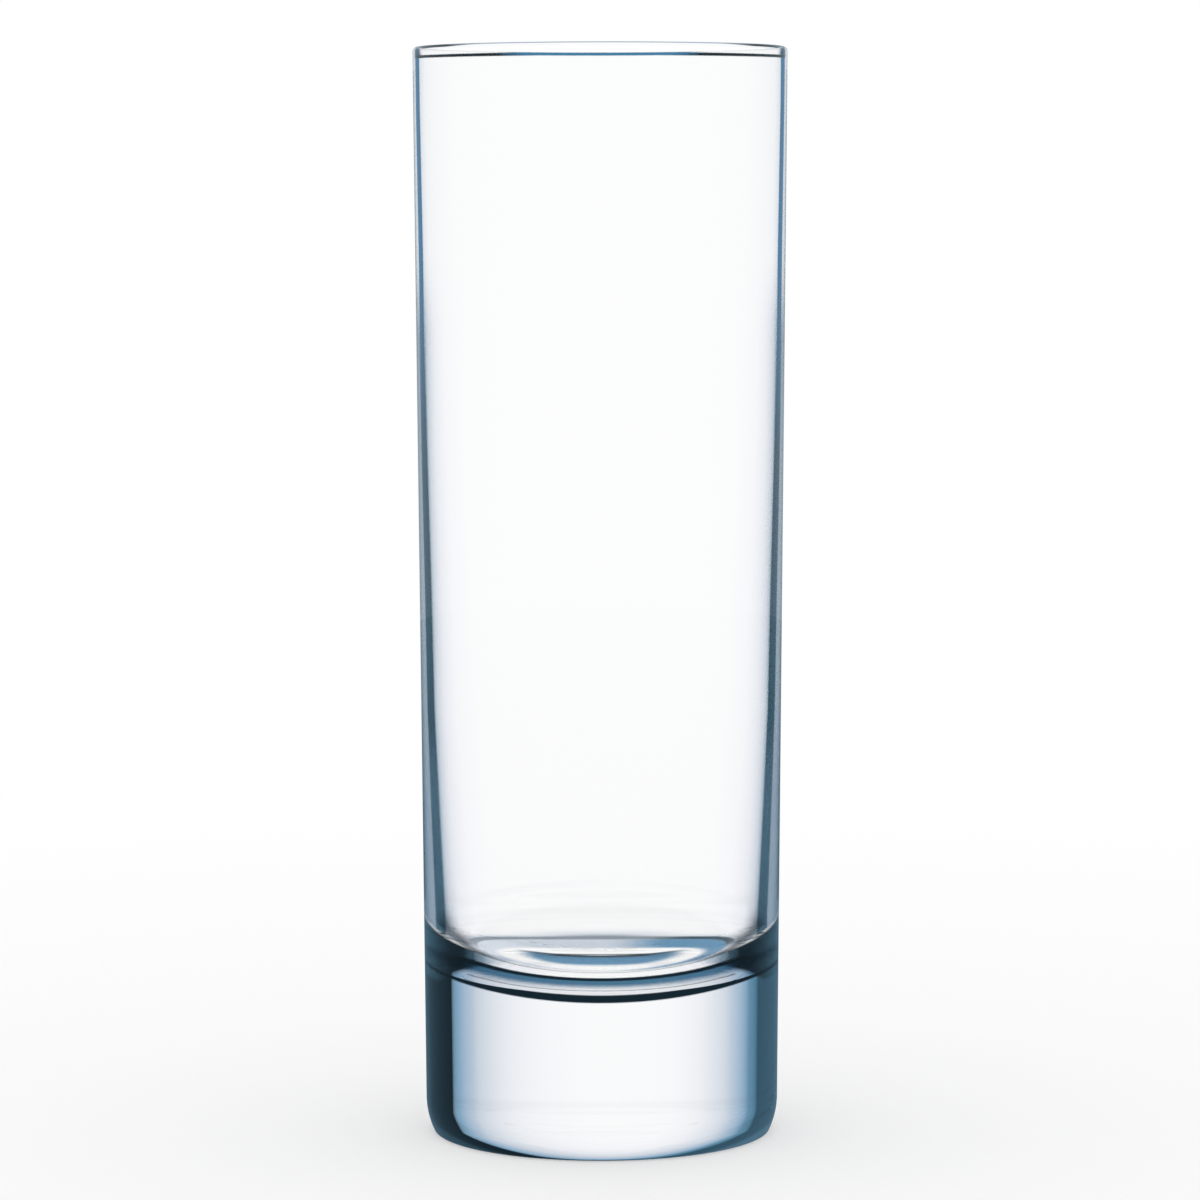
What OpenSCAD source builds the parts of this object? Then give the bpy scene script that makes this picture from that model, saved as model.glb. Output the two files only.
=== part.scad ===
// Highball glass: a tall drinking glass with a heavy solid base, a slight taper and a fire-polished rim.
// The whole glass is one revolved profile, cut by level planes into its three zones.

/* [Overall] */
// Height from the table to the top of the rim
glass_h = 152.2; // [110:0.1:190]
// Outer diameter at the rim
rim_d = 52; // [46:0.1:70]
// Outer diameter that the straight taper would reach at the table
foot_d = 49.4; // [42:0.1:66]

/* [Wall] */
// Wall thickness just below the rim bead
wall_top_t = 0.6; // [0.4:0.01:2]
// Wall thickness where the wall meets the heavy base
wall_low_t = 1.6; // [1.2:0.01:4]

/* [Rim] */
// Thickness of the fire-polished bead, which is fully round on top
bead_t = 1.24; // [1:0.01:3]
// Height over which the bead runs out into the wall, on the inside
bead_runout_h = 1.8; // [1:0.1:4]
// Height of the rim zone
rim_zone_h = 5; // [4.5:0.1:10]

/* [Heavy base] */
// Glass under the lowest point of the cavity
floor_t = 19.6; // [6:0.1:30]
// Radius of the dished floor of the cavity
dish_r = 50; // [40:0.5:150]
// Radius of the inner corner between the floor and the wall
inner_corner_r = 9; // [3:0.1:14]
// Plain wall that the base zone keeps above the inner corner
base_land_h = 1.5; // [0.5:0.1:5]
// Height at which the outside starts to draw in to the heel
heel_h = 4.8; // [3:0.1:9]
// Radius of the long curve of the heel
heel_r = 11.1; // [10:0.1:20]
// Radius of the corner between the heel and the table
foot_corner_r = 0.3; // [0.2:0.05:2]
// Width of the flat bearing ring that stands on the table
bearing_ring_w = 3; // [1:0.1:5]
// Depth of the shallow hollow inside the bearing ring
underside_depth = 0.5; // [0.2:0.05:1.5]

/* [Hidden] */
// Facets of a full circle in the preview
$fn = 144;
// Overrun of every cut past the face that it goes through
cut_over = 2;

rim_r = rim_d / 2;
foot_r = foot_d / 2;

// Outer taper: radius gained for each unit of height, and the slant of its normal
outer_slope = (rim_r - foot_r) / glass_h;
outer_slant = sqrt(1 + outer_slope * outer_slope);
function outer_r(z) = foot_r + outer_slope * z;

// Heel: a large circle that touches the outer taper from inside at the heel's height
heel_x = outer_r(heel_h) - heel_r / outer_slant;
heel_z = heel_h + heel_r * outer_slope / outer_slant;
// Foot corner: a small circle that touches the table plane, and the heel's circle from inside
heel_gap = heel_r - foot_corner_r;
foot_corner_x = heel_x + sqrt(heel_gap * heel_gap - (heel_z - foot_corner_r) * (heel_z - foot_corner_r));
// Where the corner meets the heel, on the line through both centres
heel_low_x = heel_x + (foot_corner_x - heel_x) * heel_r / heel_gap;
heel_low_z = heel_z + (foot_corner_r - heel_z) * heel_r / heel_gap;

// Bearing ring and the shallow spherical hollow inside it
hollow_r = foot_corner_x - bearing_ring_w;
hollow_sphere_r = (hollow_r * hollow_r + underside_depth * underside_depth) / (2 * underside_depth);

// Rim bead: a full circle inside the taper, whose top is the top of the glass
bead_r = bead_t / 2;
bead_z = glass_h - bead_r;
bead_x = outer_r(bead_z) - bead_r * outer_slant;
// Where the bead's run-out ends in the wall
runout_z = bead_z - bead_runout_h;

// Inner taper: a straight line from the wall below the bead to the wall at the top of the base's solid part
wall_low_z = floor_t + inner_corner_r;
inner_top_r = outer_r(runout_z) - wall_top_t;
inner_low_r = outer_r(wall_low_z) - wall_low_t;
inner_slope = (inner_top_r - inner_low_r) / (runout_z - wall_low_z);
inner_slant = sqrt(1 + inner_slope * inner_slope);
function inner_r(z) = inner_low_r + inner_slope * (z - wall_low_z);

// Inner corner: a circle that touches the inner taper from inside and the dish from above.
// Its centre lies on the taper moved in by the radius, and dish_r - inner_corner_r from the dish's centre,
// so its height is the lower root of a quadratic.
dish_z = floor_t + dish_r;
moved_in_r = inner_r(0) - inner_corner_r * inner_slant;
centre_gap = dish_r - inner_corner_r;
root_a = inner_slant * inner_slant;
root_b = moved_in_r * inner_slope - dish_z;
root_c = moved_in_r * moved_in_r + dish_z * dish_z - centre_gap * centre_gap;
corner_z = (-root_b - sqrt(root_b * root_b - root_a * root_c)) / root_a;
corner_x = moved_in_r + inner_slope * corner_z;
// Where the corner leaves the taper
corner_top_z = corner_z - inner_corner_r * inner_slope / inner_slant;
// Where the corner meets the dish, on the line through both centres
dish_edge_x = corner_x * dish_r / centre_gap;
dish_edge_z = dish_z - (dish_z - corner_z) * dish_r / centre_gap;

// Level planes between the three zones
base_top_z = corner_top_z + base_land_h;
rim_low_z = glass_h - rim_zone_h;

// Solid outside of the glass: tapered body, heel, foot corner and round bead
module outer_profile() {
    polygon([
        [0, 0],
        [foot_corner_x, 0],
        [heel_low_x, heel_low_z],
        [outer_r(heel_h), heel_h],
        [outer_r(bead_z), bead_z],
        [bead_x, glass_h],
        [0, glass_h]
    ]);
    translate([foot_corner_x, foot_corner_r]) circle(foot_corner_r);
    intersection() {
        translate([heel_x, heel_z]) circle(heel_r);
        translate([0, heel_low_z]) square([outer_r(heel_h), heel_h - heel_low_z]);
    }
    translate([bead_x, bead_z]) circle(bead_r);
}

// The drinking space: dished floor, round inner corner, tapered wall and the run-out under the bead
module cavity_profile() {
    polygon([
        [0, dish_edge_z],
        [dish_edge_x, dish_edge_z],
        [inner_r(corner_top_z), corner_top_z],
        [inner_top_r, runout_z],
        [bead_x - bead_r, bead_z],
        [bead_x - bead_r, glass_h],
        [0, glass_h]
    ]);
    translate([corner_x, corner_z]) circle(inner_corner_r);
    intersection() {
        translate([0, dish_z]) circle(dish_r);
        square([dish_edge_x, dish_edge_z]);
    }
}

// Everything above the bead's round top, from the axis to past the rim
module above_bead_profile() {
    difference() {
        translate([0, bead_z]) square([rim_r + cut_over, bead_r + cut_over]);
        translate([bead_x, bead_z]) circle(bead_r);
    }
}

// The shallow hollow under the foot
module hollow_profile() {
    translate([0, underside_depth - hollow_sphere_r]) circle(hollow_sphere_r);
}

// Half section of the whole glass
module glass_profile() {
    difference() {
        outer_profile();
        cavity_profile();
        above_bead_profile();
        hollow_profile();
    }
}

// One zone of the glass, between two level planes
module zone(low_z, high_z) {
    rotate_extrude() intersection() {
        glass_profile();
        translate([0, low_z]) square([rim_r + cut_over, high_z - low_z]);
    }
}

module heavy_base() {
    color("lightblue") zone(0, base_top_z);
}

module side_wall() {
    color("aliceblue") zone(base_top_z, rim_low_z);
}

module rim() {
    color("lightsteelblue") zone(rim_low_z, glass_h);
}

heavy_base();
side_wall();
rim();
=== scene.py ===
import math
import bpy
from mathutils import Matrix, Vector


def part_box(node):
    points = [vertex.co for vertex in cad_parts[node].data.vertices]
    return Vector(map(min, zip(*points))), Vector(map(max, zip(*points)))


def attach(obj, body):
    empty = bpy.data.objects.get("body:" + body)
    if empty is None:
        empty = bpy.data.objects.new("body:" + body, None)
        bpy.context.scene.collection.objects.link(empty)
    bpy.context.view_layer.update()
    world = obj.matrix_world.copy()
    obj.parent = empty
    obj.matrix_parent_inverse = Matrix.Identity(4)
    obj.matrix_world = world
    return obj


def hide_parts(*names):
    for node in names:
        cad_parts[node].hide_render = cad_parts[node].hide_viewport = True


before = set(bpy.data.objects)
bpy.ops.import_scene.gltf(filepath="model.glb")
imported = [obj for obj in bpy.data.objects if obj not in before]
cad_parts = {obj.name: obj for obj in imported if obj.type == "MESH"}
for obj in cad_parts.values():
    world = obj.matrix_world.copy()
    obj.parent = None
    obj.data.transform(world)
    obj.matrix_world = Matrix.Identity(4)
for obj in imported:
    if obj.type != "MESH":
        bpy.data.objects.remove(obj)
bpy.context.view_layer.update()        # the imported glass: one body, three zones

mm = 0.001


class Value:
    # one socket of a node tree, so that sums on it add Math nodes
    def __init__(self, nodes, socket):
        self.nodes = nodes
        self.socket = socket

    def math(self, operation, *others):
        return self.nodes.add("ShaderNodeMath", {"operation": operation}, dict(enumerate((self,) + others)))

    def __add__(self, other):
        return self.math("ADD", other)

    def __sub__(self, other):
        return self.math("SUBTRACT", other)

    def __rsub__(self, other):
        return self.nodes.number(other).math("SUBTRACT", self)

    def __mul__(self, other):
        return self.math("MULTIPLY", other)

    def __truediv__(self, other):
        return self.math("DIVIDE", other)

    def __rtruediv__(self, other):
        return self.nodes.number(other).math("DIVIDE", self)

    def __gt__(self, other):
        return self.math("GREATER_THAN", other)

    def __lt__(self, other):
        return self.math("LESS_THAN", other)

    __radd__ = __add__
    __rmul__ = __mul__

    def atLeast(self, low):
        return self.math("MAXIMUM", low)

    def clamp(self):
        return self.nodes.add("ShaderNodeClamp", {}, {"Value": self})

    def share(self, low, high):
        # 0 below low, 1 above high, straight between them
        return ((self - low) / (high - low)).clamp()

    def rise(self, low, high):
        # 0 below low, 1 above high, smooth between them
        return self.nodes.add("ShaderNodeMapRange", {"interpolation_type": "SMOOTHSTEP"},
                              {"Value": self, "From Min": low, "From Max": high})

    def fall(self, low, high):
        return 1 - self.rise(low, high)

    def band(self, start, full, fading, gone):
        # 1 from full to fading, 0 before start and after gone
        return self.rise(start, full) * self.fall(fading, gone)


class Nodes:
    def __init__(self, tree):
        self.tree = tree
        tree.nodes.clear()

    def add(self, kind, settings=None, sockets=None, out=0):
        node = self.tree.nodes.new(kind)
        for name, value in (settings or {}).items():
            if name == "stops":
                self.setStops(node.color_ramp.elements, value)
            else:
                setattr(node, name, value)
        for name, value in (sockets or {}).items():
            if isinstance(value, Value):
                self.tree.links.new(value.socket, node.inputs[name])
            else:
                node.inputs[name].default_value = value
        return Value(self, node.outputs[out]) if len(node.outputs) else node

    def setStops(self, elements, stops):
        elements[0].position, elements[1].position = stops[0][0], stops[-1][0]
        for at, colour in stops[1:-1]:
            elements.new(at)
        for element, (at, colour) in zip(elements, stops):
            element.color = (*colour, 1)

    def outputs(self, kind, sockets=None):
        # all outputs of a node, by name
        node = self.add(kind, {}, sockets).socket.node
        return {socket.name: Value(self, socket) for socket in node.outputs if socket.name}

    def number(self, value):
        return self.add("ShaderNodeMath", {"operation": "ADD"}, {0: value, 1: 0.0})

    def mix(self, share, first, second):
        # colours: first where share is 0, second where it is 1
        first, second = (colour if isinstance(colour, Value) else (*colour, 1) for colour in (first, second))
        return self.add("ShaderNodeMix", {"data_type": "RGBA"}, {0: share, 6: first, 7: second}, out=2)

    def blendShaders(self, share, first, second):
        return self.add("ShaderNodeMixShader", {}, {0: share, 1: first, 2: second})


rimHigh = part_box("rim")[1]

glass = {
    # sizes in mm
    "height": rimHigh[2] / mm,
    "rimRadius": rimHigh[0] / mm,
    "footRadius": 24.7,          # where the straight taper would reach the table
    "wallTop": 0.6,
    "wallLow": 1.6,
    "bead": 1.24,                # thickness of the fire-polished rim
    "beadRunout": 1.8,
    "floor": 19.6,               # glass under the cavity
    "dishRadius": 50,
    "innerCorner": 9,
    "heelHeight": 4.8,
    "heelRadius": 11.1,
    "footCorner": 0.3,
    "bearingRing": 3,
    "underside": 0.5,            # depth of the hollow inside the bearing ring
    "lead": 0.25,                # short steps beside each arc, so that the shading stays true
    "points": {"hollow": 12, "ring": 3, "footCorner": 10, "heel": 22, "outside": 36,
               "bead": 22, "runout": 9, "inside": 30, "innerCorner": 30, "dish": 22},
    "segments": 320,
    "mergeDistance": 0.002,
}


def arc(centre, radius, start, end, count):
    # points of an arc in the half section, from start to end in radians
    turns = [start + (end - start) * i / (count - 1) for i in range(count)]
    return [(centre[0] + radius * math.cos(t), centre[1] + radius * math.sin(t)) for t in turns]


def straight(start, end, count):
    return [tuple(a + (b - a) * i / (count - 1) for a, b in zip(start, end)) for i in range(count)]


def halfSection(sizes):
    # from the centre of the underside, up the outside, over the rim and down to the centre of the cavity
    count = sizes["points"]
    lead = sizes["lead"]
    outerSlope = (sizes["rimRadius"] - sizes["footRadius"]) / sizes["height"]
    outerTurn = math.atan(outerSlope)

    def outer(z):
        return sizes["footRadius"] + outerSlope * z

    heel = (outer(sizes["heelHeight"]) - sizes["heelRadius"] * math.cos(outerTurn),
            sizes["heelHeight"] + sizes["heelRadius"] * math.sin(outerTurn))
    heelGap = sizes["heelRadius"] - sizes["footCorner"]
    corner = (heel[0] + math.sqrt(heelGap ** 2 - (heel[1] - sizes["footCorner"]) ** 2), sizes["footCorner"])
    heelEnd = math.atan2(corner[1] - heel[1], corner[0] - heel[0])

    hollow = corner[0] - sizes["bearingRing"]
    hollowSphere = (hollow ** 2 + sizes["underside"] ** 2) / (2 * sizes["underside"])
    hollowTurn = math.asin(hollow / hollowSphere)

    bead = sizes["bead"] / 2
    beadZ = sizes["height"] - bead
    beadCentre = (outer(beadZ) - bead / math.cos(outerTurn), beadZ)
    runoutZ = beadZ - sizes["beadRunout"]

    lowZ = sizes["floor"] + sizes["innerCorner"]
    topInner = outer(runoutZ) - sizes["wallTop"]
    lowInner = outer(lowZ) - sizes["wallLow"]
    innerSlope = (topInner - lowInner) / (runoutZ - lowZ)
    innerTurn = math.atan(innerSlope)

    def inner(z):
        return lowInner + innerSlope * (z - lowZ)

    # the inner corner touches the wall and the dished floor
    dishZ = sizes["floor"] + sizes["dishRadius"]
    movedIn = inner(0) - sizes["innerCorner"] / math.cos(innerTurn)
    centreGap = sizes["dishRadius"] - sizes["innerCorner"]
    a = 1 + innerSlope ** 2
    b = movedIn * innerSlope - dishZ
    c = movedIn ** 2 + dishZ ** 2 - centreGap ** 2
    cornerZ = (-b - math.sqrt(b * b - a * c)) / a
    innerCorner = (movedIn + innerSlope * cornerZ, cornerZ)
    cornerEnd = math.atan2(cornerZ - dishZ, innerCorner[0])
    cornerTop = cornerZ - sizes["innerCorner"] * math.sin(innerTurn)

    points = arc((0, sizes["underside"] - hollowSphere), hollowSphere,
                 math.pi / 2, math.pi / 2 - hollowTurn, count["hollow"])
    points += straight((hollow + lead, 0), (corner[0] - lead, 0), count["ring"])
    points += arc(corner, sizes["footCorner"], -math.pi / 2, heelEnd, count["footCorner"])
    points += arc(heel, sizes["heelRadius"], heelEnd, -outerTurn, count["heel"])[1:]
    points += straight((outer(sizes["heelHeight"] + lead), sizes["heelHeight"] + lead),
                       (outer(beadZ - lead), beadZ - lead), count["outside"])
    points += arc(beadCentre, bead, -outerTurn, math.pi, count["bead"])
    for i in range(1, count["runout"] + 1):      # the bead runs out into the wall
        share = i / count["runout"]
        ease = share * share * (3 - 2 * share)
        z = beadZ - sizes["beadRunout"] * share
        points.append(((beadCentre[0] - bead) * (1 - ease) + inner(z) * ease, z))
    points += straight((inner(runoutZ - lead), runoutZ - lead),
                       (inner(cornerTop + lead), cornerTop + lead), count["inside"])
    points += arc(innerCorner, sizes["innerCorner"], -innerTurn, cornerEnd, count["innerCorner"])
    points += arc((0, dishZ), sizes["dishRadius"], cornerEnd, -math.pi / 2, count["dish"])[1:]
    points[0] = (0, points[0][1])
    points[-1] = (0, points[-1][1])
    return points


def revolveTree():
    # turns the half section that comes in about the Z axis
    tree = bpy.data.node_groups.new("revolveProfile", "GeometryNodeTree")
    for name, kind in (("Profile", "NodeSocketGeometry"), ("Segments", "NodeSocketInt"),
                       ("Merge Distance", "NodeSocketFloat"), ("Material", "NodeSocketMaterial")):
        tree.interface.new_socket(name, in_out="INPUT", socket_type=kind)
    tree.interface.new_socket("Geometry", in_out="OUTPUT", socket_type="NodeSocketGeometry")
    nodes = Nodes(tree)
    inputs = nodes.outputs("NodeGroupInput")
    profile, segments = inputs["Profile"], inputs["Segments"]

    count = nodes.add("GeometryNodeAttributeDomainSize", {"component": "MESH"}, {"Geometry": profile})
    grid = nodes.add("GeometryNodeMeshGrid", {}, {"Vertices X": segments + 1, "Vertices Y": count})
    index = nodes.add("GeometryNodeInputIndex")
    turn = (index / count).math("FLOOR")
    point = index - turn * count
    place = nodes.add("GeometryNodeInputPosition")
    section = nodes.add("GeometryNodeSampleIndex", {"data_type": "FLOAT_VECTOR", "domain": "POINT"},
                        {"Geometry": profile, "Value": place, "Index": point})
    turned = nodes.add("ShaderNodeVectorRotate", {"rotation_type": "Z_AXIS"},
                       {"Vector": section, "Angle": turn * (2 * math.pi) / segments})
    shell = nodes.add("GeometryNodeSetPosition", {}, {"Geometry": grid, "Position": turned})
    closed = nodes.add("GeometryNodeMergeByDistance", {},
                       {"Geometry": shell, "Distance": inputs["Merge Distance"]})
    smooth = nodes.add("GeometryNodeSetShadeSmooth", {}, {"Geometry": closed})
    real = nodes.add("GeometryNodeRealizeInstances", {}, {"Geometry": smooth})
    painted = nodes.add("GeometryNodeSetMaterial", {}, {"Geometry": real, "Material": inputs["Material"]})
    nodes.add("NodeGroupOutput", {}, {"Geometry": painted})
    return tree


def revolve(name, sizes, material):
    points = halfSection(sizes)
    profile = bpy.data.meshes.new(name + "Profile")
    profile.from_pydata([(x * mm, 0, z * mm) for x, z in points],
                        [(i, i + 1) for i in range(len(points) - 1)], [])
    source = bpy.data.objects.new(name + "Profile", profile)
    bpy.context.scene.collection.objects.link(source)
    modifier = source.modifiers.new("revolve", "NODES")
    modifier.node_group = revolveTree()
    values = {"Segments": sizes["segments"], "Merge Distance": sizes["mergeDistance"] * mm,
              "Material": material}
    for item in modifier.node_group.interface.items_tree:
        if item.in_out == "INPUT" and item.name in values:
            modifier[item.identifier] = values[item.name]
    seen = source.evaluated_get(bpy.context.evaluated_depsgraph_get())
    mesh = bpy.data.meshes.new_from_object(seen)
    mesh.name = name
    piece = bpy.data.objects.new(name, mesh)
    bpy.context.scene.collection.objects.link(piece)
    bpy.data.objects.remove(source)
    return piece


# How clear glass looks in a white studio with a dark surround: the light that it bends in from far round
# the side goes blue, then dark. The studio's dark sky gives some of this; the lines and patches below are
# painted shade, set by facing and place in the glass's Base Color and in mixed dark shaders. In what
# follows places are in mm, facing is Layer Weight's, 0 where the surface is seen square on and 1 at its
# edge, and colours are as seen.
clear = {
    "ior": 1.52,
    "specular": 0.25,            # half of the full amount, which lays a pale film over the dark lines
    "skin": 0.3,                 # what lies less deep than this counts as the outside
    "crestSkin": 0.32,           # and this much more on the round top of the rim
    "insideAbove": 10,
    "cavityTop": (28, 31),       # heights over which the cavity's bottom ends
    "baseTop": 27.2,             # height at which the base's painted dark shade ends, where it is seen square on
    "baseTopRise": 4.2,          # and how much higher it ends at the edge
    "baseTopSoft": 0.35,
}


class Spot:
    # where a ray meets the glass, on which of its surfaces, and whether it goes in or out
    def __init__(self, nodes, sizes, look):
        axes = nodes.outputs("ShaderNodeSeparateXYZ",
                             {"Vector": nodes.add("ShaderNodeTexCoord", out="Object")})
        self.nodes = nodes
        self.x, y, self.z = (axis / mm for axis in axes.values())
        self.radius = (self.x * self.x + y * y).math("SQRT")
        self.deep = sizes["height"] - self.z           # below the top of the rim
        self.facing = nodes.add("ShaderNodeLayerWeight", {}, {"Blend": 0.5}, out="Facing")
        self.leaving = nodes.add("ShaderNodeNewGeometry", out="Backfacing")
        self.entering = 1 - self.leaving
        taper = (sizes["rimRadius"] - sizes["footRadius"]) / sizes["height"]
        onTop = self.deep < sizes["bead"] / 2
        middle = sizes["footRadius"] + self.z * taper - look["skin"] - look["crestSkin"] * onTop
        self.outside = self.radius > middle
        self.inside = (self.radius < middle) * (self.z > look["insideAbove"])
        self.cavity = self.inside * self.z.fall(*look["cavityTop"])
        baseTop = look["baseTop"] + look["baseTopRise"] * self.facing
        self.aboveBase = self.z.rise(baseTop - look["baseTopSoft"], baseTop + look["baseTopSoft"])


def throughOneFace(colour):
    # Base Color tints the light that goes in by its square root
    return tuple(v * v for v in colour)


def ramp(value, stops, low=0.0, high=1.0):
    stops = [((at - low) / (high - low), throughOneFace(colour)) for at, colour in stops]
    return value.nodes.add("ShaderNodeValToRGB", {"stops": stops}, {"Fac": (value - low) / (high - low)})


wall = {
    # a painted shade line stands where the cavity ends, dark low down and blue near the top: its facing at
    # three heights, and a bulge between them
    "lineHeights": (32, 61, 144),
    "line": (0.588, 0.684, 0.786),
    "bulge": 0.013,
    "bulgeHeights": (74, 100, 110, 126),
    # the stops count from the line: the wall inside it, the line, and the margin outside
    "span": (-0.4, 0.4),
    "low": [(-0.40, (1.0, 1.0, 1.0)), (-0.28, (0.97, 0.975, 0.995)), (-0.235, (0.93, 0.94, 0.97)),
            (-0.18, (0.87, 0.885, 0.93)), (-0.137, (0.77, 0.80, 0.86)), (-0.10, (0.64, 0.69, 0.76)),
            (-0.072, (0.44, 0.52, 0.60)), (-0.052, (0.01, 0.06, 0.095)), (0.052, (0.0, 0.04, 0.07)),
            (0.072, (0.30, 0.38, 0.47)), (0.12, (0.32, 0.40, 0.49)), (0.26, (0.18, 0.26, 0.33))],
    "high": [(-0.40, (1.0, 1.0, 1.0)), (-0.14, (0.98, 0.985, 1.0)), (-0.09, (0.90, 0.92, 0.95)),
             (-0.056, (0.78, 0.82, 0.88)), (-0.046, (0.0, 0.14, 0.30)), (0.04, (0.0, 0.12, 0.28)),
             (0.052, (0.84, 0.89, 0.95)), (0.15, (0.96, 0.98, 1.0))],
    "besideTurnsBlue": (112, 125),   # heights over which low gives way to high beside the line
    "lineTurnsBlue": (94, 128),      # and on the line itself, which lies between these places
    "lineWidth": (-0.06, -0.045, 0.035, 0.055),
    # near the base the painted line is paler
    "footColour": (0.1732, 0.3464, 0.4796),
    "footShare": 0.1,
    "footHeights": (48, 60),
    "footFrom": (-0.1, -0.05),
    "underRim": (0.5, 1.1),
}


# painted shade: the wall's blue and dark line goes into the glass's Base Color by facing and height
def paintWallShade(spot, look, colour):
    z = spot.z
    lowZ, midZ, highZ = look["lineHeights"]
    low, mid, high = look["line"]
    fromLine = spot.facing - (low + (mid - low) * z.share(lowZ, midZ) + (high - mid) * z.share(midZ, highZ)
                              + look["bulge"] * z.band(*look["bulgeHeights"]))
    onLine = fromLine.band(*look["lineWidth"])
    start, end = (beside + (line - beside) * onLine
                  for beside, line in zip(look["besideTurnsBlue"], look["lineTurnsBlue"]))
    shade = spot.nodes.mix(z.rise(start, end), ramp(fromLine, look["low"], *look["span"]),
                           ramp(fromLine, look["high"], *look["span"]))
    paler = look["footShare"] * z.fall(*look["footHeights"]) * fromLine.rise(*look["footFrom"])
    shade = spot.nodes.mix(paler, shade, throughOneFace(look["footColour"]))
    share = spot.outside * spot.aboveBase * spot.entering * spot.deep.rise(*look["underRim"])
    return spot.nodes.mix(share, colour, shade)


base = {
    # painted shade: blue, then dark towards the sides and along the foot, darker on the left than on the
    # right
    "left": [(0.0, (1.0, 1.0, 1.0)), (0.10, (0.92, 0.93, 0.96)), (0.18, (0.83, 0.855, 0.90)),
             (0.26, (0.68, 0.73, 0.80)), (0.30, (0.61, 0.67, 0.745)), (0.335, (0.474, 0.571, 0.69)),
             (0.375, (0.386, 0.51, 0.64)), (0.42, (0.262, 0.413, 0.571)), (0.455, (0.18, 0.34, 0.48)),
             (0.468, (0.16, 0.26, 0.34)), (0.484, (0.002, 0.006, 0.010)), (0.75, (0.004, 0.012, 0.018)),
             (1.0, (0.02, 0.05, 0.07))],
    "right": [(0.0, (1.0, 1.0, 1.0)), (0.10, (0.97, 0.975, 0.99)), (0.18, (0.89, 0.905, 0.94)),
              (0.26, (0.75, 0.79, 0.85)), (0.30, (0.66, 0.715, 0.785)), (0.335, (0.53, 0.62, 0.73)),
              (0.375, (0.42, 0.54, 0.67)), (0.42, (0.285, 0.435, 0.59)), (0.462, (0.133, 0.279, 0.413)),
              (0.52, (0.078, 0.20, 0.30)), (0.545, (0.03, 0.08, 0.12)), (0.8, (0.034, 0.09, 0.135)),
              (1.0, (0.07, 0.15, 0.22))],
    "leftToRight": (-10, 10),
    "darkFacing": 0.475,             # the facing at which the dark starts
    "darkFacingAtFoot": 0.2,
    "footHeight": 2.2,
    # painted dark shade at the top of the base, beside the cavity's bottom
    "corner": [(0.0, (0.75, 0.80, 0.86)), (0.20, (0.55, 0.62, 0.70)), (0.27, (0.20, 0.28, 0.35)),
               (0.32, (0.04, 0.08, 0.11)), (0.38, (0.003, 0.008, 0.012)), (0.50, (0.003, 0.009, 0.014)),
               (0.62, (0.012, 0.030, 0.042)), (0.82, (0.028, 0.08, 0.115)), (1.0, (0.03, 0.09, 0.13))],
    "cornerHeight": 22.9,
    "cornerRise": 10,                # higher by this much for each unit of facing below cornerFacing
    "cornerFacing": 0.62,
    "cornerSoft": 0.4,
    "radiusFrom": 23.2,
}


# painted shade: the base's blue and dark goes into the glass's Base Color by facing, height and side
def paintBaseShade(spot, look, colour):
    z, facing = spot.z, spot.facing
    foot = look["darkFacingAtFoot"] / look["darkFacing"]
    squeezed = facing / (foot + (1 - foot) * z.share(0, look["footHeight"]))
    shade = spot.nodes.mix(spot.x.rise(*look["leftToRight"]), ramp(squeezed, look["left"]),
                           ramp(squeezed, look["right"]))
    corner = look["cornerHeight"] + look["cornerRise"] * (look["cornerFacing"] - facing).atLeast(0.0)
    shade = spot.nodes.mix(z.rise(corner - look["cornerSoft"], corner + look["cornerSoft"]), shade,
                           ramp(facing, look["corner"]))
    share = (spot.radius > look["radiusFrom"]) * (1 - spot.aboveBase) * (1 - spot.inside) * spot.entering
    return spot.nodes.mix(share, colour, shade)


rimLook = {
    # a painted shade line on the front of the bead, blue in the middle and dark towards the sides, which
    # sags away from its crest at the sides; side is 0 in the middle of the glass and 1 at its ends
    "leastUpright": 0.05,
    "sag": 1.28,
    "sagAfter": 0.05,
    "thick": 0.43,
    "softTop": 0.06,
    "softBottom": 0.07,
    "lineEnds": (0.80, 0.87),
    "blue": (0.04, 0.20, 0.36),
    "dark": (0.003, 0.010, 0.016),
    "blueToDark": (0.03, 0.15),
    "frontDepth": 3,
    # the blue turn at both ends, painted shade
    "end": (0.0, 0.06, 0.13),
    "endSides": (0.66, 0.74, 0.82, 0.88),
    "endDepth": 1.3,
    # the thin painted shade line on the back of the bead
    "back": (0.36, 0.45, 0.56),
    "backToDark": (0.08, 0.45),
    "backThick": 0.13,
    "backThickMore": 0.2,
    "backThickSides": (0.2, 0.5),
    "backSoft": (0.03, 0.05),
}


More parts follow.
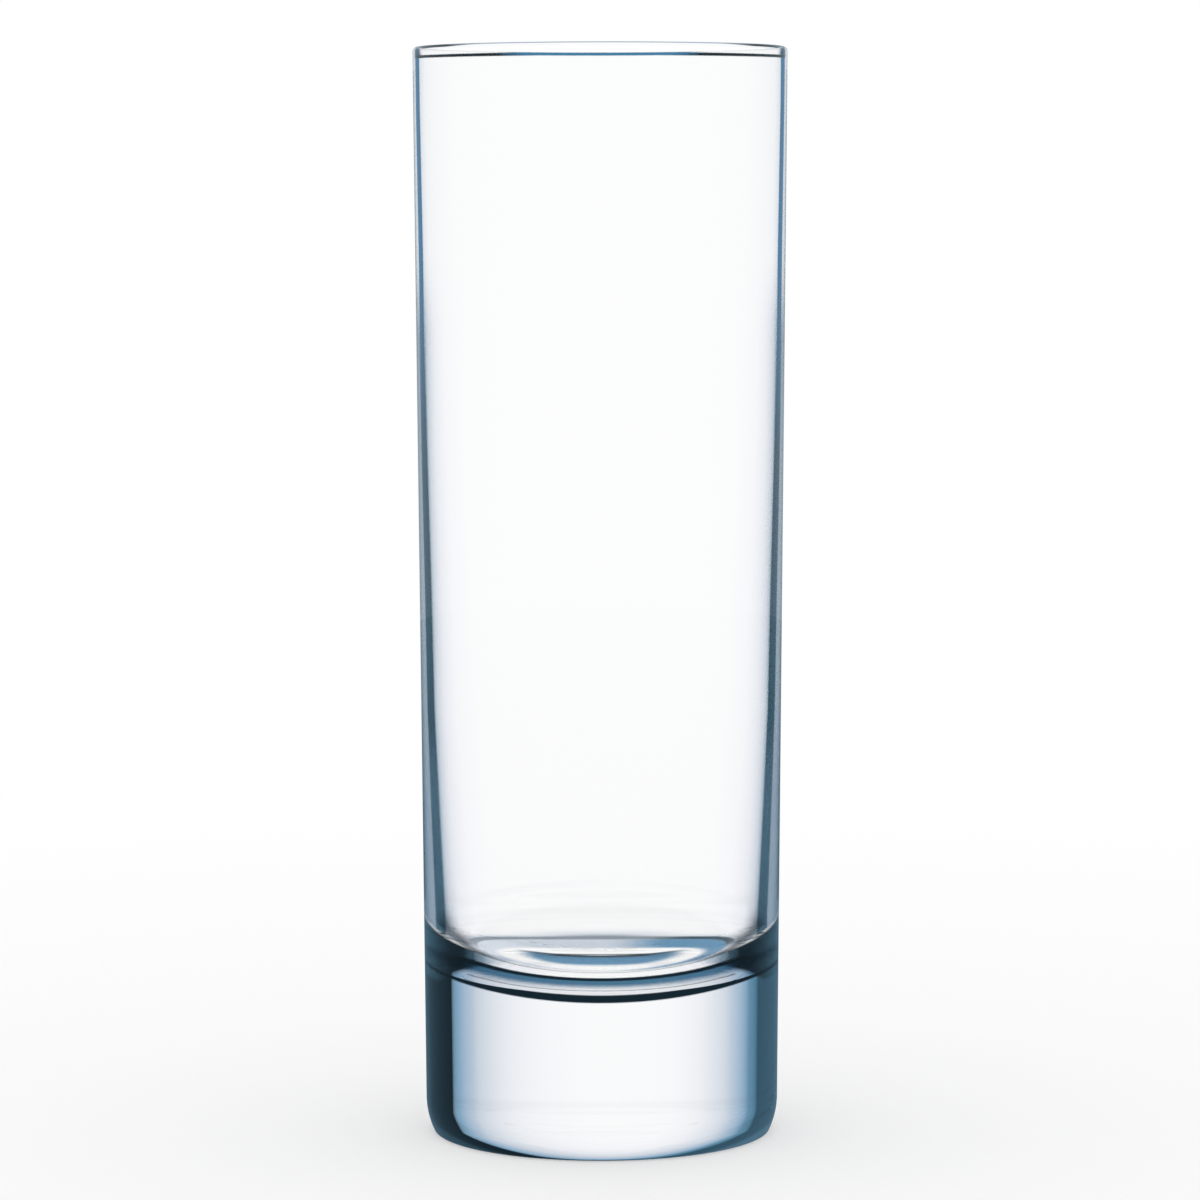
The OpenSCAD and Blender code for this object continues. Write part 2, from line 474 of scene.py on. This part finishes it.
# painted shade: the rim's lines go into the glass's Base Color by facing and depth
def paintRimShade(spot, sizes, look, colour):
    nodes, deep = spot.nodes, spot.deep
    bead = sizes["bead"] / 2
    overMiddle = (bead - deep).atLeast(0.0) / bead
    upright = (1 - overMiddle.math("POWER", 2)).math("SQRT").atLeast(look["leastUpright"])
    side = 1 - ((1 - spot.facing) / upright).clamp()
    front = spot.outside * (deep < look["frontDepth"]) * spot.entering

    end = side.band(*look["endSides"]) * (deep < look["endDepth"])
    colour = nodes.mix(end * front, colour, throughOneFace(look["end"]))

    top = (look["sag"] * side - look["sagAfter"]).atLeast(0.0)
    bottom = top + look["thick"]
    line = deep.band(top - look["softTop"], top + look["softTop"],
                     bottom - look["softBottom"], bottom + look["softBottom"])
    shade = nodes.mix(side.rise(*look["blueToDark"]), throughOneFace(look["blue"]),
                      throughOneFace(look["dark"]))
    colour = nodes.mix(line * side.fall(*look["lineEnds"]) * front, colour, shade)

    thick = look["backThick"] + look["backThickMore"] * side.rise(*look["backThickSides"])
    before, after = look["backSoft"]
    back = deep.fall(thick - before, thick + after) * spot.inside * spot.entering
    shade = nodes.mix(side.rise(*look["backToDark"]), throughOneFace(look["back"]),
                      throughOneFace(look["dark"]))
    return nodes.mix(back, colour, shade)


cup = {
    # the cavity's bottom, seen at a slant through the wall; its far side gets a pale grey-blue painted shade
    "seenFrom": (0.12, 0.26),
    "farSide": (0.52, 0.58),
    "farSideTurn": 0.025,            # change of that facing for each mm outside farSideRadius
    "farSideRadius": 11,
    "pale": (0.62, 0.68, 0.76),
    "paleTo": (19.6, 21.2),
    # a painted blue shade patch at the back, on the right
    "blue": (0.10, 0.26, 0.42),
    "blueRadius": (10, 13, 18.2, 19.2),
    "blueFacing": (0.34, 0.46),
    "blueAcross": (0, 10),
    # a painted dark shade line behind it, level, darker on the right
    "backLine": (0.02, 0.06, 0.085),
    "backLineRadius": (18.2, 18.8, 19.5, 20.1),
    "backLineFacing": (0.62, 0.72),
    "backLineLeft": 0.6,
    "backLineAcross": (6, 13),
    # painted dark shade at the sides
    "side": (0.01, 0.03, 0.045),
    "sideFacing": (0.48, 0.72),
    "sideRadius": (18.6, 20.6),
    # a painted blue shade lens in the middle, and its darker upper edge
    "lens": (0.09, 0.26, 0.43),
    "lensFacing": (0.618, 0.632, 0.70, 0.73),
    "lensEdge": (0.06, 0.12, 0.17),
    "lensEdgeFacing": (0.614, 0.622, 0.632, 0.643),
    "lensRadius": (9.5, 13.5),
}


def seenCup(spot, look):
    return spot.cavity * spot.entering * spot.facing.rise(*look["seenFrom"])


def farSideOfCup(spot, look):
    turned = look["farSideTurn"] * (spot.radius - look["farSideRadius"])
    return (spot.facing - turned).fall(*look["farSide"])


# painted shade: a pale grey-blue tint in Base Color on the cavity bottom's far side
def paintCupShade(spot, look, colour):
    share = spot.radius.fall(*look["paleTo"]) * farSideOfCup(spot, look) * seenCup(spot, look)
    return spot.nodes.mix(share, colour, throughOneFace(look["pale"]))


def drawCupShade(spot, look, ior, surface):
    # painted shade: set colours in refraction, because a tint of the glass keeps the pale film of its
    # reflection
    x, radius, facing = spot.x, spot.radius, spot.facing
    lensWidth = radius.fall(*look["lensRadius"])
    backLineShare = look["backLineLeft"] + (1 - look["backLineLeft"]) * x.rise(*look["backLineAcross"])
    seen = seenCup(spot, look)
    for share, tint in (
            (farSideOfCup(spot, look) * radius.band(*look["blueRadius"]) * facing.rise(*look["blueFacing"])
             * x.rise(*look["blueAcross"]), look["blue"]),
            (radius.band(*look["backLineRadius"]) * facing.fall(*look["backLineFacing"]) * backLineShare,
             look["backLine"]),
            (facing.rise(*look["sideFacing"]) * radius.rise(*look["sideRadius"]), look["side"]),
            (facing.band(*look["lensFacing"]) * lensWidth, look["lens"]),
            (facing.band(*look["lensEdgeFacing"]) * lensWidth, look["lensEdge"])):
        bend = spot.nodes.add("ShaderNodeBsdfRefraction", {},
                              {"Color": (*tint, 1), "Roughness": 0.0, "IOR": ior})
        surface = spot.nodes.blendShaders(share * seen, surface, bend)
    return surface


underCup = {
    # light that turns back under the cavity isn't tinted by Base Color, so painted shade is set there in
    # tinted mirror shaders: a blue ring with a dark upper edge, and the dark crescent at the bottom
    "ring": (0.07, 0.18, 0.29),
    "ringFrom": (0.31, 0.35),
    "ringFade": (0.43, 0.60),
    "ringRest": 0.2,                 # what is left of the ring past its fade
    "dark": (0.004, 0.013, 0.02),
    "ringEdge": (0.31, 0.33, 0.365, 0.385),
    "ringRadius": (21.9, 22.4),
    "crescent": (0.77, 0.79, 0.905, 0.94),
}


# painted shade under the cavity, in dark and blue mirror shaders
def drawUnderCupShade(spot, look, surface):
    facing = spot.facing
    ringWidth = spot.radius.fall(*look["ringRadius"])
    fade = look["ringRest"] + (1 - look["ringRest"]) * facing.fall(*look["ringFade"])
    for share, tint in (
            (facing.rise(*look["ringFrom"]) * fade * ringWidth, look["ring"]),
            (facing.band(*look["ringEdge"]) * ringWidth, look["dark"]),
            (facing.band(*look["crescent"]), look["dark"])):
        mirror = spot.nodes.add("ShaderNodeBsdfGlossy", {}, {"Color": (*tint, 1), "Roughness": 0.0})
        surface = spot.nodes.blendShaders(share * spot.cavity * spot.leaving, surface, mirror)
    return surface


lightOut = {
    # where light leaves unbent: near the table, in the bead, and at these angles inside the base
    "footHeight": 0.6,
    "footRadius": 22.9,
    "rimDepth": 3.2,
    "steepFacing": (0.25, 0.27, 0.55, 0.60),
    "steepHeight": 26,
}


def letLightOut(spot, look, surface):
    # there it would turn back many times and end as a dark smudge
    foot = (spot.z < look["footHeight"]) * (spot.radius > look["footRadius"])
    steep = spot.facing.band(*look["steepFacing"]) * (1 - spot.inside) * (spot.z < look["steepHeight"])
    share = (steep + foot + (spot.deep < look["rimDepth"])).clamp() * spot.leaving
    onward = spot.nodes.add("ShaderNodeBsdfRefraction", {}, {"Roughness": 0.0, "IOR": 1.0})
    return spot.nodes.blendShaders(share, surface, onward)


def clearGlass(sizes, look):
    material = bpy.data.materials.new("clearGlass")
    material.use_nodes = True
    nodes = Nodes(material.node_tree)
    spot = Spot(nodes, sizes, look)
    colour = paintWallShade(spot, wall, (1, 1, 1))
    colour = paintBaseShade(spot, base, colour)
    colour = paintCupShade(spot, cup, colour)
    colour = paintRimShade(spot, sizes, rimLook, colour)
    surface = nodes.add("ShaderNodeBsdfPrincipled", {}, {
        "Base Color": colour,
        "Roughness": 0.0,
        "IOR": look["ior"],
        "Specular IOR Level": look["specular"],
        "Transmission Weight": 1.0,
    })
    surface = drawCupShade(spot, cup, look["ior"], surface)
    surface = drawUnderCupShade(spot, underCup, surface)
    surface = letLightOut(spot, lightOut, surface)
    nodes.add("ShaderNodeOutputMaterial", {}, {"Surface": surface})
    return material


print("glass: revolving the section")
glassPiece = revolve("clearHighball", glass, clearGlass(glass, clear))
print("glass:", len(glassPiece.data.vertices), "points,", len(glassPiece.data.polygons), "faces")
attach(glassPiece, "root")
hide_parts("heavy_base", "side_wall", "rim")


studio = {
    # sizes in metres
    "floorRadius": 0.6,
    "floorSides": 96,
    "floorGap": 0.1 * mm,        # air under the bearing ring
    "floorColour": (0.97, 0.97, 0.97),
    "glow": 0.4,                 # white of its own, so that the shadow stays faint
    "fade": (0.16, 0.34),        # where the floor melts into the white behind
    "mirrored": (0.10, 0.18, 0.25),        # painted reflection: a dim glow that the floor shows only to reflected rays, which the lower glass mirrors at its edges
    "mirroredFar": (0.26, 0.34, 0.40),
    "mirroredFade": (0.22, 0.6),
}


def floorMaterial(values):
    material = bpy.data.materials.new("paleFloor")
    material.use_nodes = True
    nodes = Nodes(material.node_tree)
    place = nodes.add("ShaderNodeTexCoord", out="Object")
    far = nodes.add("ShaderNodeVectorMath", {"operation": "LENGTH"}, {0: place}, out="Value")
    rays = nodes.outputs("ShaderNodeLightPath")
    paper = nodes.add("ShaderNodeBsdfDiffuse", {}, {"Color": (*values["floorColour"], 1)})
    white = nodes.add("ShaderNodeEmission", {}, {"Color": (1, 1, 1, 1), "Strength": 1.0})
    # painted reflection: the floor glows dim only for reflected rays, to darken the lower glass's edges
    paintedReflectionColour = nodes.mix(far.rise(*values["mirroredFade"]), values["mirrored"], values["mirroredFar"])
    paintedReflection = nodes.add("ShaderNodeEmission", {}, {"Color": paintedReflectionColour, "Strength": 1.0})
    whiteShare = values["glow"] + (1 - values["glow"]) * far.rise(*values["fade"])
    seen = nodes.blendShaders(whiteShare, paper, white)
    seen = nodes.blendShaders(rays["Is Glossy Ray"], seen, paintedReflection)
    seen = nodes.blendShaders(rays["Is Transmission Ray"], seen, white)
    nodes.add("ShaderNodeOutputMaterial", {}, {"Surface": seen})
    return material


def makeFloor(values):
    mesh = bpy.data.meshes.new("paleFloor")
    turns = [2 * math.pi * i / values["floorSides"] for i in range(values["floorSides"])]
    radius = values["floorRadius"]
    ring = [(radius * math.cos(t), radius * math.sin(t), -values["floorGap"]) for t in turns]
    mesh.from_pydata(ring, [], [tuple(range(len(ring)))])
    floor = bpy.data.objects.new("paleFloor", mesh)
    bpy.context.scene.collection.objects.link(floor)
    mesh.materials.append(floorMaterial(values))


sky = {
    "lightUpTo": math.radians(25),       # the studio is white up to here, as the glass sees it
    "soft": math.radians(10),
    "above": (0.02, 0.05, 0.07),
    "mirrored": (0.36, 0.44, 0.50),
}


def makeWorld(values):
    world = bpy.data.worlds.new("studio")
    bpy.context.scene.world = world
    world.use_nodes = True
    nodes = Nodes(world.node_tree)
    direction = nodes.add("ShaderNodeTexCoord", out="Generated")
    height = nodes.outputs("ShaderNodeSeparateXYZ", {"Vector": direction})["Z"].math("ARCSINE")
    rays = nodes.outputs("ShaderNodeLightPath")
    top = values["lightUpTo"]
    band = nodes.mix(height.rise(top, top + values["soft"]), (1, 1, 1), values["above"])
    colour = nodes.mix(rays["Is Glossy Ray"], (1, 1, 1), values["mirrored"])
    # a sharp refracted ray counts as glossy too, so transmission comes after it
    colour = nodes.mix(rays["Is Transmission Ray"], colour, band)
    colour = nodes.mix(rays["Is Camera Ray"], colour, (1, 1, 1))
    light = nodes.add("ShaderNodeBackground", {}, {"Color": colour, "Strength": 1.0})
    nodes.add("ShaderNodeOutputWorld", {}, {"Surface": light})


view = {
    # metres, radians and millimetres of lens
    "distance": 0.89143,
    "height": 0.17915,
    "tilt": 0.1163,              # down
    "lean": 0.0017,
    "lens": 192.37,
    "sensor": 36,
    "aside": 0.3 / 1200,         # part of the picture's width
}


def makeCamera(values):
    data = bpy.data.cameras.new("camera")
    data.lens = values["lens"]
    data.sensor_width = values["sensor"]
    data.shift_x = values["aside"]
    camera = bpy.data.objects.new("camera", data)
    camera.location = (0, -values["distance"], values["height"])
    camera.rotation_euler = (math.pi / 2 - values["tilt"], values["lean"], 0)
    bpy.context.scene.collection.objects.link(camera)
    bpy.context.scene.camera = camera


print("studio: floor, light and camera")
makeFloor(studio)
makeWorld(sky)
makeCamera(view)
bpy.context.scene.view_settings.view_transform = "Standard"
bpy.context.scene.cycles.max_bounces = 20          # light turns round many times inside the base
bpy.context.scene.cycles.transmission_bounces = 20
bpy.context.scene.cycles.glossy_bounces = 12
